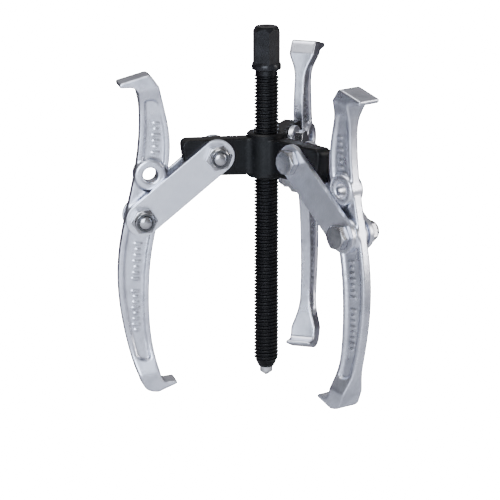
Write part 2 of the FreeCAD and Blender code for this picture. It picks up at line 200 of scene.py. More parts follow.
class Graph:
    """Makes and links the nodes of one material or world."""

    def __init__(self, tree: bpy.types.NodeTree) -> None:
        self.tree = tree
        self.tree.nodes.clear()

    @staticmethod
    def _find(sockets: Any, key: Union[str, int]) -> bpy.types.NodeSocket:
        """Finds one socket of a node.

        Args:
            sockets: The node's inputs or its outputs.
            key: Name, identifier or place of the socket.

        Returns:
            The socket.
        """
        if isinstance(key, int):
            return sockets[key]
        for socket in sockets:
            if socket.identifier == key:
                return socket
        return sockets[key]

    def node(
        self,
        kind: str,
        settings: Optional[Mapping[str, Any]] = None,
        inputs: Optional[Mapping[Union[str, int], Any]] = None,
    ) -> bpy.types.Node:
        """Makes a node.

        Args:
            kind: The node's type name.
            settings: Values of the node's own settings, set before its sockets.
            inputs: Socket values or wires, by socket name, identifier or place.

        Returns:
            The new node.
        """
        node = self.tree.nodes.new(kind)
        for name, value in (settings or {}).items():
            setattr(node, name, value)
        for key, value in (inputs or {}).items():
            socket = self._find(node.inputs, key)
            if isinstance(value, Wire):
                self.tree.links.new(value.socket, socket)
            elif isinstance(value, tuple) and len(value) == 3 and socket.type == "RGBA":
                socket.default_value = (*value, 1.0)
            else:
                socket.default_value = value
        return node

    def wire(self, node: bpy.types.Node, output: Union[str, int]) -> Wire:
        """Takes one output of a node.

        Args:
            node: The node.
            output: Name, identifier or place of the output.

        Returns:
            The output as a wire.
        """
        return Wire(self, self._find(node.outputs, output))

    def place(self) -> Wire:
        """Gives the object coordinates, in metres.

        Returns:
            The position vector.
        """
        return self.wire(self.node("ShaderNodeTexCoord"), "Object")

    def noise(self, size: float, detail: float) -> Wire:
        """Gives a smooth random value from about 0 to 1.

        Args:
            size: Length of one blob, in metres.
            detail: Number of finer layers on top.

        Returns:
            The random value.
        """
        inputs = {"Vector": self.place(), "Scale": 1.0 / size, "Detail": detail}
        return self.wire(self.node("ShaderNodeTexNoise", None, inputs), 0)

    def blend(self, factor: Value, first: Any, second: Any) -> Wire:
        """Mixes two colours.

        Args:
            factor: 0 for the first colour and 1 for the second.
            first: A colour or a wire.
            second: A colour or a wire.

        Returns:
            The mixed colour.
        """
        inputs = {"Factor_Float": factor, "A_Color": first, "B_Color": second}
        node = self.node("ShaderNodeMix", {"data_type": "RGBA", "clamp_factor": True}, inputs)
        return self.wire(node, "Result_Color")

    def from_axis(self) -> Wire:
        """Gives the distance from the screw's axis, in metres.

        Returns:
            The distance.
        """
        inputs = {0: self.place(), 1: (1.0, 1.0, 0.0)}
        flat = self.node("ShaderNodeVectorMath", {"operation": "MULTIPLY"}, inputs)
        inputs = {0: self.wire(flat, "Vector")}
        node = self.node("ShaderNodeVectorMath", {"operation": "LENGTH"}, inputs)
        return self.wire(node, "Value")


@dataclass(frozen=True)
class Finish:
    """A surface with an even colour, blotches in its tone and sheen, and a fine grain."""

    name: str
    slot: Slot
    colour: Colour
    worn_and_painted_light: Colour
    metallic: float = 1.0
    roughness: float = 0.35
    spread: float = 0.12
    blotch: float = 0.012
    grain: float = 0.0006
    grain_height: float = 0.00001
    swell: float = 0.004
    swell_height: float = 0.0
    gloss: float = 0.5
    wear_start: float = 0.35
    wear_end: float = 0.75
    cloud_share: float = 0.6
    smudge_share: float = 2.5
    smoothest: float = 0.05
    roughest: float = 0.95

    def wear_and_painted_light(self, graph: Graph) -> Wire:
        """Says where the surface shows its second colour; here random blotches, while the forging and thread
        finishes add painted shade and a painted highlight.

        Args:
            graph: The material's node graph.

        Returns:
            0 for the fresh colour and 1 for the second colour.
        """
        return graph.noise(self.blotch, 4.0).ramp(self.wear_start, self.wear_end)

    def polish(self, graph: Graph, wear_and_painted_light: Wire) -> Wire:
        """Gives the roughness over the surface.

        Args:
            graph: The material's node graph.
            wear_and_painted_light: Where the surface shows its second colour; not used.

        Returns:
            The roughness.
        """
        cloud = graph.noise(self.blotch * self.cloud_share, 5.0) - 0.5
        smudge = graph.noise(self.blotch * self.smudge_share, 2.0) - 0.5
        rough = self.roughness + cloud * self.spread + smudge * self.spread
        return rough.limited(self.smoothest, self.roughest)

    def material(self) -> bpy.types.Material:
        """Builds the material.

        Returns:
            The finished material.
        """
        material = bpy.data.materials.new(self.name)
        material.use_nodes = True
        graph = Graph(material.node_tree)
        wear_and_painted_light = self.wear_and_painted_light(graph)
        height = graph.noise(self.grain, 4.0) * self.grain_height
        if self.swell_height:
            height = height + graph.noise(self.swell, 3.0) * self.swell_height
        bump = graph.node("ShaderNodeBump", None, {"Strength": 1.0, "Distance": 1.0, "Height": height})
        inputs = {
            # The second colour is random blotches, painted shade in the forging's hollows and a painted highlight
            # on the screw's crests.
            "Base Color": graph.blend(wear_and_painted_light, self.colour, self.worn_and_painted_light),
            "Metallic": self.metallic,
            "Roughness": self.polish(graph, wear_and_painted_light),
            "Specular IOR Level": self.gloss,
            "Normal": graph.wire(bump, "Normal"),
        }
        shader = graph.node("ShaderNodeBsdfPrincipled", None, inputs)
        graph.node("ShaderNodeOutputMaterial", None, {"Surface": graph.wire(shader, "BSDF")})
        return material


@dataclass(frozen=True)
class ForgedFinish(Finish):
    """A plated forging: painted shade darkens its hollows, so its crests look brighter."""

    wear_start: float = 0.4
    wear_end: float = 0.8
    painted_shade_start: float = 0.44
    painted_shade_end: float = 0.50
    painted_shade_share: float = 0.9
    cloud_wear: float = 0.35

    def wear_and_painted_light(self, graph: Graph) -> Wire:
        """Says where the plating is darkened: painted shade in the hollows, and dull cloudy patches.

        Args:
            graph: The material's node graph.

        Returns:
            0 for bright plating and 1 for the dark colour of the painted shade and the dull patches.
        """
        # Painted shade: the hollows, found by pointiness, are darkened as if shaded.
        shape = graph.wire(graph.node("ShaderNodeNewGeometry"), "Pointiness")
        painted_shade = 1.0 - shape.ramp(self.painted_shade_start, self.painted_shade_end)
        cloud = graph.noise(self.blotch, 4.0).ramp(self.wear_start, self.wear_end)
        return (painted_shade * self.painted_shade_share + cloud * self.cloud_wear).limited()


@dataclass(frozen=True)
class ThreadFinish(Finish):
    """A blackened screw whose crests are lighter than its roots: rubbed, with a painted highlight."""

    root: float = 0.0060
    crest: float = 0.0071
    wear_start: float = 0.3
    wear_end: float = 0.7
    least_crest_highlight: float = 0.25

    def wear_and_painted_light(self, graph: Graph) -> Wire:
        """Says where the black coat is rubbed and where a painted highlight lies on the crests.

        Args:
            graph: The material's node graph.

        Returns:
            0 for the black coat and 1 for the lighter crests, rubbed and painted highlight.
        """
        # Painted highlight: the crests, found by distance from the axis, always take at least the least share of
        # the lighter colour; random patches add rubbing.
        crest = graph.from_axis().ramp(self.root, self.crest)
        patch = graph.noise(self.blotch, 4.0).ramp(self.wear_start, self.wear_end)
        return crest * (self.least_crest_highlight + patch * (1.0 - self.least_crest_highlight))


FINISHES: Tuple[Finish, ...] = (
    Finish("black casting", Slot.BLACK, (0.0020, 0.0020, 0.0026), (0.0050, 0.0050, 0.0058), metallic=0.0,
           roughness=0.40, spread=0.16, blotch=0.014, grain=0.0007, grain_height=0.00002,
           swell=0.0045, swell_height=0.00010, gloss=0.17),
    # Black oxide: its second colour is the rubbed crests with a painted highlight.
    ThreadFinish("black oxide", Slot.BLACK, (0.0025, 0.0025, 0.0032), (0.012, 0.012, 0.014), metallic=0.2,
                 roughness=0.27, spread=0.06, blotch=0.006, grain=0.0004, grain_height=0.000002,
                 gloss=0.26),
    Finish("ground steel", Slot.BRIGHT, (0.62, 0.62, 0.64), (0.48, 0.48, 0.50), roughness=0.24,
           spread=0.10, blotch=0.003, grain=0.0003, grain_height=0.000003),
    # Plated forging: its dark second colour is mostly painted shade in the hollows, partly dull patches.
    ForgedFinish("plated forging", Slot.JAWS, (0.66, 0.68, 0.76), (0.19, 0.195, 0.23), roughness=0.29,
                 spread=0.10, blotch=0.010, grain=0.0006, grain_height=0.000012,
                 swell=0.0026, swell_height=0.000045),
    Finish("plated bar", Slot.STRAPS, (0.71, 0.725, 0.79), (0.65, 0.665, 0.73), roughness=0.30,
           spread=0.05, blotch=0.016, grain=0.0005, grain_height=0.000006,
           swell=0.0060, swell_height=0.00002),
    Finish("plated fastener", Slot.FASTENERS, (0.42, 0.42, 0.44), (0.27, 0.27, 0.29), roughness=0.20,
           spread=0.10, blotch=0.004, grain=0.0004, grain_height=0.000005),
    Finish("dark nylon", Slot.NYLON, (0.030, 0.030, 0.034), (0.045, 0.045, 0.050), metallic=0.0,
           roughness=0.5, spread=0.10, blotch=0.003, grain=0.0004, grain_height=0.000008),
)


class Paintbox:
    """Keeps one material per finish and lays it on pieces."""

    def __init__(self, finishes: Sequence[Finish]) -> None:
        self._finishes = {finish.name: finish for finish in finishes}
        self._materials = {finish.name: finish.material() for finish in finishes}

    def paint(self, piece: Object, finish: str) -> None:
        """Gives a piece its material.

        Args:
            piece: The mesh object.
            finish: Name of the finish.
        """
        piece.data.materials.clear()
        piece.data.materials.append(self._materials[finish])


# Modelling

class Bench:
    """The modelling steps that the pieces share."""

    @staticmethod
    def pick(*pieces: Object) -> None:
        """Selects pieces and makes the first one active.

        Args:
            pieces: The objects to select.
        """
        bpy.ops.object.select_all(action="DESELECT")
        for piece in pieces:
            piece.select_set(True)
        bpy.context.view_layer.objects.active = pieces[0]

    @classmethod
    def point(cls, name: str, spot: Point) -> Object:
        """Starts a mesh of one vertex, in edit mode, with that vertex selected.

        Args:
            name: Name of the new object.
            spot: Distance from the Z axis and height.

        Returns:
            The new object.
        """
        bpy.ops.object.select_all(action="DESELECT")
        bpy.ops.mesh.primitive_plane_add(size=0.01)
        piece = bpy.context.active_object
        piece.name = name
        bpy.ops.object.mode_set(mode="EDIT")
        bpy.ops.mesh.select_all(action="SELECT")
        bpy.ops.mesh.merge(type="CENTER")
        bpy.ops.transform.translate(value=(spot[0], 0.0, spot[1]))
        return piece

    @classmethod
    def outline(cls, name: str, points: Sequence[Point]) -> Object:
        """Extrudes a vertex along a chain of points, and stays in edit mode.

        Args:
            name: Name of the new object.
            points: Distances from the Z axis and heights.

        Returns:
            The new object.
        """
        piece = cls.point(name, points[0])
        for before, after in zip(points, points[1:]):
            step = (after[0] - before[0], 0.0, after[1] - before[1])
            bpy.ops.mesh.extrude_region_move(TRANSFORM_OT_translate={"value": step})
        bpy.ops.mesh.select_all(action="SELECT")
        return piece

    @classmethod
    def turned(cls, name: str, points: Sequence[Point], steps: int = 64) -> Object:
        """Spins an outline about the Z axis into a closed solid.

        Args:
            name: Name of the new object.
            points: The outline, from the axis round to the axis.
            steps: Number of facets round the axis.

        Returns:
            The solid.
        """
        piece = cls.outline(name, points)
        bpy.ops.mesh.spin(steps=steps, angle=math.tau, center=(0.0, 0.0, 0.0), axis=(0.0, 0.0, 1.0))
        cls.weld()
        return piece

    @staticmethod
    def weld(distance: float = 0.000004) -> None:
        """Merges near vertices in edit mode, turns the faces outward and leaves edit mode.

        Args:
            distance: The largest gap that is closed, in metres.
        """
        bpy.ops.mesh.select_all(action="SELECT")
        bpy.ops.mesh.remove_doubles(threshold=distance)
        bpy.ops.mesh.normals_make_consistent(inside=False)
        bpy.ops.object.mode_set(mode="OBJECT")

    @classmethod
    def prism(cls, name: str, flats: float, low: float, high: float, turn: float = 0.0) -> Object:
        """Makes a hexagonal bar along Z, with a corner on +X before it is turned.

        Args:
            name: Name of the new object.
            flats: Width across flats.
            low: Height of the lower end.
            high: Height of the upper end.
            turn: Turn about Z, in radians.

        Returns:
            The bar.
        """
        bpy.ops.object.select_all(action="DESELECT")
        middle = (0.0, 0.0, (low + high) / 2)
        bpy.ops.mesh.primitive_cylinder_add(
            vertices=6, radius=flats / math.sqrt(3), depth=high - low, location=middle,
            rotation=(0.0, 0.0, turn + math.pi / 2))
        piece = bpy.context.active_object
        piece.name = name
        cls.settle(piece)
        return piece

    @staticmethod
    def settle(piece: Object) -> None:
        """Bakes the place, turn and size of an object into its mesh.

        Args:
            piece: The object.
        """
        Bench.pick(piece)
        bpy.ops.object.transform_apply(location=True, rotation=True, scale=True)

    @classmethod
    def modify(cls, piece: Object, kind: str, **settings: Any) -> None:
        """Adds a modifier, sets it and applies it.

        Args:
            piece: The object to change.
            kind: The modifier's type.
            settings: Values of the modifier's settings.
        """
        cls.pick(piece)
        modifier = piece.modifiers.new(kind.lower(), kind)
        for name, value in settings.items():
            setattr(modifier, name, value)
        bpy.ops.object.modifier_apply(modifier=modifier.name)

    @classmethod
    def cut(cls, piece: Object, tool: Object, how: Cut) -> None:
        """Changes a solid by another one, which is used up.

        Args:
            piece: The solid that is kept.
            tool: The solid that is used up.
            how: What is done.
        """
        cls.modify(piece, "BOOLEAN", operation=how.value, object=tool, solver="EXACT")
        bpy.data.objects.remove(tool, do_unlink=True)

    @classmethod
    def soften(cls, piece: Object, width: float, angle: float = 25.0, segments: int = 2) -> None:
        """Rounds the sharp edges.

        Args:
            piece: The solid.
            width: Width of the rounding, in metres.
            angle: Smallest angle of an edge that is rounded, in degrees.
            segments: Number of facets across the rounding.
        """
        cls.modify(piece, "BEVEL", width=width, segments=segments, limit_method="ANGLE",
                   angle_limit=math.radians(angle), use_clamp_overlap=True)

    @classmethod
    def shade(cls, piece: Object, angle: float, flat_faces: bool = False) -> None:
        """Shades a piece smooth up to an angle.

        Args:
            piece: The object.
            angle: Edges sharper than this stay sharp, in degrees.
            flat_faces: Whether large faces keep their own direction, next to rounded edges.
        """
        cls.pick(piece)
        bpy.ops.object.shade_smooth_by_angle(angle=math.radians(angle))
        if flat_faces:
            cls.modify(piece, "WEIGHTED_NORMAL", mode="FACE_AREA", weight=100, keep_sharp=True)

    @classmethod
    def join(cls, *pieces: Object) -> Object:
        """Joins several objects into the first one.

        Args:
            pieces: The objects.

        Returns:
            The first object.
        """
        cls.pick(*pieces)
        bpy.ops.object.join()
        return pieces[0]

    @classmethod
    def twin(cls, pattern: Object, name: str, where: Matrix) -> Object:
        """Copies a piece with its own mesh and puts the copy in place.

        Args:
            pattern: The piece that is copied.
            name: Name of the copy.
            where: From the pattern's frame to the row frame.

        Returns:
            The copy.
        """
        copy = bpy.data.objects.new(name, pattern.data.copy())
        bpy.context.scene.collection.objects.link(copy)
        copy.matrix_world = where
        cls.settle(copy)
        return copy

    @staticmethod
    def discard(*pieces: Object) -> None:
        """Removes patterns that are no longer needed.

        Args:
            pieces: The objects.
        """
        for piece in pieces:
            bpy.data.objects.remove(piece, do_unlink=True)


@dataclass(frozen=True)
class ArmPlace:
    """Where one arm stands, read from the joints and mounts of the frame."""

    arm: Arm
    yoke_pivot: Vector
    jaw_pivot: Vector
    spare_hole: Vector

    @classmethod
    def read(cls, arm: Arm) -> "ArmPlace":
        """Reads the place of an arm.

        Args:
            arm: Which arm.

        Returns:
            Its place.
        """
        joints = {joint["name"]: joint for joint in frame["joints"]}
        mounts = {mount["name"]: mount for mount in frame["record"]["mounts"]}
        return cls(
            arm,
            Vector(joints[arm.value + "_strap_lift"]["pos_m"]),
            Vector(joints[arm.value + "_jaw_spread"]["pos_m"]),
            Vector(mounts[arm.value + "_spare_hole"]["pos_m"]),
        )

    @property
    def out(self) -> Vector:
        """Level direction from the screw out to the arm.

        Returns:
            The direction, of length one.
        """
        return Vector((self.yoke_pivot.x, self.yoke_pivot.y, 0.0)).normalized()

    @property
    def across(self) -> Vector:
        """Direction of the pivot bolts, from their heads to their nuts.

        Returns:
            The direction, of length one.
        """
        return Vector((-self.out.y, self.out.x, 0.0))

    @staticmethod
    def _matrix(x: Vector, y: Vector, z: Vector, origin: Vector) -> Matrix:
        """Builds a frame.

        Args:
            x: Its X direction.
            y: Its Y direction.
            z: Its Z direction.
            origin: Where it stands.

        Returns:
            From that frame to the row frame.
        """
        turn = Matrix((x, y, z)).transposed().to_4x4()
        return Matrix.Translation(origin) @ turn

    def strap_frame(self) -> Matrix:
        """Gives the frame of the straps: X along them from the yoke pivot, Y along the bolts.

        Returns:
            From that frame to the row frame.
        """
        along = (self.jaw_pivot - self.yoke_pivot).normalized()
        return self._matrix(along, self.across, along.cross(self.across), self.yoke_pivot)

    def jaw_frame(self) -> Matrix:
        """Gives the frame of the jaw: Z up from its pivot to its spare hole, Y along the bolts.

        Returns:
            From that frame to the row frame.
        """
        up = (self.spare_hole - self.jaw_pivot).normalized()
        return self._matrix(self.across.cross(up), self.across, up, self.jaw_pivot)

    def bolt_frame(self, end: End, turn: float = 0.0) -> Matrix:
        """Gives the frame of a pivot bolt: Z along it, from its head to its nut.

        Args:
            end: Which pivot.
            turn: Turn about the bolt, in degrees.

        Returns:
            From that frame to the row frame.
        """
        pivot = self.yoke_pivot if end is End.YOKE else self.jaw_pivot
        laid = self._matrix(self.out, self.across.cross(self.out), self.across, pivot)
        return laid @ Matrix.Rotation(math.radians(turn), 4, "Z")


@dataclass(frozen=True)
class ForcingScrew:
    """The screw: a true helical thread, a turned nose, a collar and a hexagon with a turned top."""

    crest: float = 0.0070
    root: float = 0.00585
    pitch: float = 0.0020
    facets: int = 40
    nose_end: float = 0.0052
    nose_radius: float = 0.00445
    bore_radius: float = 0.0037
    thread_bottom: float = 0.0112
    thread_top: float = 0.1732
    neck_radius: float = 0.0063
    collar_bottom: float = 0.1762
    collar_top: float = 0.1805
    collar_radius: float = 0.0084
    collar_edge: float = 0.0009
    flats: float = 0.0140
    turn: float = 29.0
    top: float = 0.2007
    top_radius: float = 0.0063
    chamfer_height: float = 0.0026
    dimple_radius: float = 0.0022
    dimple_depth: float = 0.0012
    lead_in: float = 2.2
    profile: Tuple[Point, ...] = (
        (0.0, 0.0), (0.13, 0.0), (0.405, 0.92), (0.455, 1.0), (0.545, 1.0), (0.595, 0.92),
        (0.87, 0.0), (1.0, 0.0))
    runout: float = 0.0006
    edge_break: float = 0.0003
    corner_break: float = 0.0004
    margin: float = 0.0002
    sunk: float = 0.002
    soft: float = 0.00022
    crease: float = 28.0
    thread_crease: float = 38.0

    def thread(self) -> Object:
        """Winds one pitch of the thread's outline up the screw.

        Returns:
            The closed thread, longer than needed at both ends.
        """
        start = self.nose_end - self.lead_in * self.pitch
        turns = math.ceil((self.collar_bottom - start) / self.pitch)
        depth = self.crest - self.root
        points = [(self.root + rise * depth, start + share * self.pitch) for share, rise in self.profile]
        piece = Bench.outline("screw_steel", points)
        bpy.ops.object.mode_set(mode="OBJECT")
        Bench.modify(piece, "SCREW", angle=math.tau, screw_offset=self.pitch, iterations=turns,
                     steps=self.facets, render_steps=self.facets, use_merge_vertices=False)
        bpy.ops.object.mode_set(mode="EDIT")
        bpy.ops.mesh.select_all(action="SELECT")
        bpy.ops.mesh.remove_doubles(threshold=MERGE_GAP)
        bpy.ops.mesh.fill_holes(sides=0)
        Bench.weld()
        return piece

    def envelope(self) -> Object:
        """Turns the outer shape that the thread is cut to, with the bore for the centre point.

        Returns:
            The solid of revolution.
        """
        bore_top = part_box("thrust_ball")[1][2] + self.margin
        outer = self.crest + self.margin / 2
        return Bench.turned("envelope", [
            (0.0, bore_top), (self.bore_radius, bore_top), (self.bore_radius, self.nose_end),
            (self.nose_radius - self.edge_break, self.nose_end),
            (self.nose_radius, self.nose_end + self.edge_break),
            (outer, self.thread_bottom), (outer, self.thread_top - self.runout),
            (self.root - self.margin, self.thread_top + self.runout),
            (0.0, self.thread_top + self.runout)])

    def head(self) -> Object:
        """Models the neck, the collar and the hexagon.

        Returns:
            The head.
        """
        corner = self.flats / math.sqrt(3)
        hexagon = Bench.prism("hexagon", self.flats, self.collar_top - self.sunk, self.top,
                              math.radians(self.turn))
        low = self.collar_top - 1.5 * self.sunk
        shoulder = self.top - self.chamfer_height
        skirt = Bench.turned("turned head", [
            (0.0, low), (corner + self.margin, low),
            (corner + self.margin, shoulder - 1.5 * self.corner_break),
            (corner - self.corner_break, shoulder), (self.top_radius, self.top - self.margin / 2),
            (self.top_radius - self.corner_break, self.top), (self.dimple_radius, self.top),
            (0.0, self.top - self.dimple_depth)])
        Bench.cut(hexagon, skirt, Cut.INTERSECT)
        edge = self.collar_edge
        lip = edge * 0.3
        neck_foot = self.thread_top - self.corner_break
        collar = Bench.turned("collar", [
            (0.0, neck_foot), (self.neck_radius - self.edge_break, neck_foot),
            (self.neck_radius, self.thread_top), (self.neck_radius, self.collar_bottom - self.corner_break),
            (self.neck_radius + self.corner_break, self.collar_bottom),
            (self.collar_radius - edge, self.collar_bottom),
            (self.collar_radius - lip, self.collar_bottom + lip),
            (self.collar_radius, self.collar_bottom + edge),
            (self.collar_radius, self.collar_top - 7 * lip),
            (self.collar_radius - lip, self.collar_top - edge),
            (corner - 1.5 * self.corner_break, self.collar_top), (0.0, self.collar_top)])
        Bench.cut(hexagon, collar, Cut.UNION)
        Bench.soften(hexagon, self.soft, self.crease)
        return hexagon

    def build(self, paintbox: Paintbox) -> None:
        """Models the screw and lets it ride on its body.

        Args:
            paintbox: The materials.
        """
        screw = self.thread()
        Bench.cut(screw, self.envelope(), Cut.INTERSECT)
        Bench.shade(screw, self.thread_crease)
        head = self.head()
        Bench.shade(head, self.crease, True)
        screw = Bench.join(screw, head)
        paintbox.paint(screw, "black oxide")
        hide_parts("forcing_screw")
        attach(screw, "forcing_screw")
        LOG.info("screw: %d faces", len(screw.data.polygons))


@dataclass(frozen=True)
class MarkRow:
    """A row of raised marks on the floor of a jaw's channel, from one point to another."""

    start: Point
    end: Point
    count: int


@dataclass(frozen=True)
class JawForging:
    """The three jaws: one forging with soft edges and raised marks, hung in three places."""

    voxel: float = 0.00042
    smoothing: int = 9
    mark_smoothing: int = 3
    hole: float = 0.00405
    spare_hole: float = 0.025
    drill_length: float = 0.03
    floor: float = 0.0018
    mark_width: float = 0.0011
    mark_length: float = 0.0042
    mark_rise: float = 0.0005
    mark_edge: float = 0.0003
    mark_crease: float = 30.0
    mark_shares: Tuple[float, ...] = (1.0, 0.55, 0.8)
    crease: float = 60.0
    rows: Tuple[MarkRow, ...] = (
        MarkRow((-0.0008, 0.0375), (0.0018, 0.0540), 6),
        MarkRow((-0.0009, -0.0150), (-0.0032, -0.0350), 7),
        MarkRow((-0.0044, -0.0420), (-0.0092, -0.0640), 8),
    )

    def marks(self, row: MarkRow) -> List[Object]:
        """Models the marks of a row on both faces of the jaw.

        Args:
            row: The row.

        Returns:
            The marks.
        """
        start, end = Vector((row.start[0], 0.0, row.start[1])), Vector((row.end[0], 0.0, row.end[1]))
        tilt = math.atan2(end.x - start.x, end.z - start.z)
        made = []
        for index in range(row.count):
            spot = start.lerp(end, index / (row.count - 1))
            length = self.mark_length * self.mark_shares[index % len(self.mark_shares)]
            bpy.ops.object.select_all(action="DESELECT")
            bpy.ops.mesh.primitive_cube_add(size=1.0, location=spot, rotation=(0.0, tilt, 0.0),
                                            scale=(length, 2 * (self.floor + self.mark_rise),
                                                   self.mark_width))
            mark = bpy.context.active_object
            Bench.settle(mark)
            Bench.soften(mark, self.mark_edge, self.mark_crease)
            made.append(mark)
        return made

    def cast(self, piece: Object, smoothing: int) -> None:
        """Turns a piece into one skin with rounded edges.

        Args:
            piece: The object.
            smoothing: How often its skin is smoothed.
        """
        Bench.modify(piece, "REMESH", mode="VOXEL", voxel_size=self.voxel, adaptivity=0.0)
        Bench.modify(piece, "SMOOTH", factor=0.5, iterations=smoothing)

    def ream(self, piece: Object, height: float) -> None:
        """Cuts a pivot hole to size through a jaw.

        Args:
            piece: The jaw.
            height: Height of the hole over the working pivot.
        """
        bpy.ops.object.select_all(action="DESELECT")
        bpy.ops.mesh.primitive_cylinder_add(vertices=64, radius=self.hole, depth=self.drill_length,
                                            location=(0.0, 0.0, height), rotation=LAID)
        Bench.cut(piece, bpy.context.active_object, Cut.DIFFERENCE)

    def forging(self, place: ArmPlace) -> Object:
        """Models one jaw in its own frame.

        Args:
            place: The arm whose CAD jaw is taken as the blank.

        Returns:
            The jaw.
        """
        source = frame["nodes"][place.arm.value + "_jaw"]
        blank = Bench.twin(source, "jaw pattern", place.jaw_frame().inverted())
        bpy.ops.object.mode_set(mode="EDIT")
        Bench.weld(MERGE_GAP)
        self.cast(blank, self.smoothing)
        marks = [mark for row in self.rows for mark in self.marks(row)]
        blank = Bench.join(blank, *marks)
        self.cast(blank, self.mark_smoothing)
        for height in (0.0, self.spare_hole):
            self.ream(blank, height)
        return blank

    def build(self, places: Mapping[Arm, ArmPlace], paintbox: Paintbox) -> None:
        """Models a jaw and hangs a copy on each arm.

        Args:
            places: Where the arms stand.
            paintbox: The materials.
        """
        pattern = self.forging(places[Arm.LEFT])
        for arm, place in places.items():
            jaw = Bench.twin(pattern, arm.value + "_jaw_forging", place.jaw_frame())
            Bench.shade(jaw, self.crease)
            paintbox.paint(jaw, "plated forging")
            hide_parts(arm.value + "_jaw")
            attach(jaw, arm.value + "_jaw")
            LOG.info("%s jaw: %d faces", arm.value, len(jaw.data.polygons))
        Bench.discard(pattern)


@dataclass(frozen=True)
class StrapPair:
    """The six straps: flat bars with round ends, two holes and a narrow bevel all round."""

    width: float = 0.0190
    thickness: float = 0.0030
    face: float = 0.0052
    hole: float = 0.00405
    bevel: float = 0.00045
    bevel_crease: float = 60.0
    shade_crease: float = 40.0

    def strap(self, pitch: float) -> Object:
        """Models a strap lying along X, with its first hole at the origin.

        Args:
            pitch: Distance between the holes.

        Returns:
            The strap.
        """
        bpy.ops.object.select_all(action="DESELECT")
        bpy.ops.mesh.primitive_cylinder_add(vertices=96, radius=self.width / 2, depth=self.thickness,
                                            rotation=LAID)
        bar = bpy.context.active_object
        bar.name = "strap pattern"
        Bench.settle(bar)
        bpy.ops.object.mode_set(mode="EDIT")
        bpy.ops.mesh.select_all(action="SELECT")
        bpy.ops.mesh.bisect(plane_co=(0.0, 0.0, 0.0), plane_no=(1.0, 0.0, 0.0), clear_outer=True)
        bpy.ops.mesh.edge_face_add()
        bpy.ops.mesh.extrude_region_move(TRANSFORM_OT_translate={"value": (pitch / 2, 0.0, 0.0)})
        bpy.ops.mesh.delete(type="FACE")
        Bench.weld()
        middle = self.middle(pitch)
        Bench.modify(bar, "MIRROR", use_axis=(True, False, False), use_mirror_merge=True,
                     merge_threshold=MERGE_GAP, mirror_object=middle)
        Bench.discard(middle)
        Bench.soften(bar, self.bevel, self.bevel_crease)
        for start in (0.0, pitch):
            bpy.ops.mesh.primitive_cylinder_add(vertices=48, radius=self.hole, depth=3 * self.thickness,
                                                location=(start, 0.0, 0.0), rotation=LAID)
            Bench.cut(bar, bpy.context.active_object, Cut.DIFFERENCE)
        return bar

    @staticmethod
    def middle(pitch: float) -> Object:
        """Marks the middle of a strap, where its halves are mirrored.

        Args:
            pitch: Distance between the holes.

        Returns:
            The empty object that marks it.
        """
        middle = bpy.data.objects.new("strap middle", None)
        bpy.context.scene.collection.objects.link(middle)
        middle.location = (pitch / 2, 0.0, 0.0)
        bpy.context.view_layer.update()
        return middle

    def build(self, places: Mapping[Arm, ArmPlace], paintbox: Paintbox) -> None:
        """Models a strap and copies it to both sides of each arm.

        Args:
            places: Where the arms stand.
            paintbox: The materials.
        """
        first = places[Arm.LEFT]
        pattern = self.strap((first.jaw_pivot - first.yoke_pivot).length)
        for arm, place in places.items():
            for side in Side:
                offset = Matrix.Translation((0.0, side.value * (self.face + self.thickness / 2), 0.0))
                name = "{}_strap_{}_side".format(arm.value, side.name.lower())
                strap = Bench.twin(pattern, name + "_bar", place.strap_frame() @ offset)
                Bench.shade(strap, self.shade_crease, True)
                paintbox.paint(strap, "plated bar")
                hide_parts(name)
                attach(strap, arm.value + "_straps")
        Bench.discard(pattern)
        LOG.info("straps: 6")


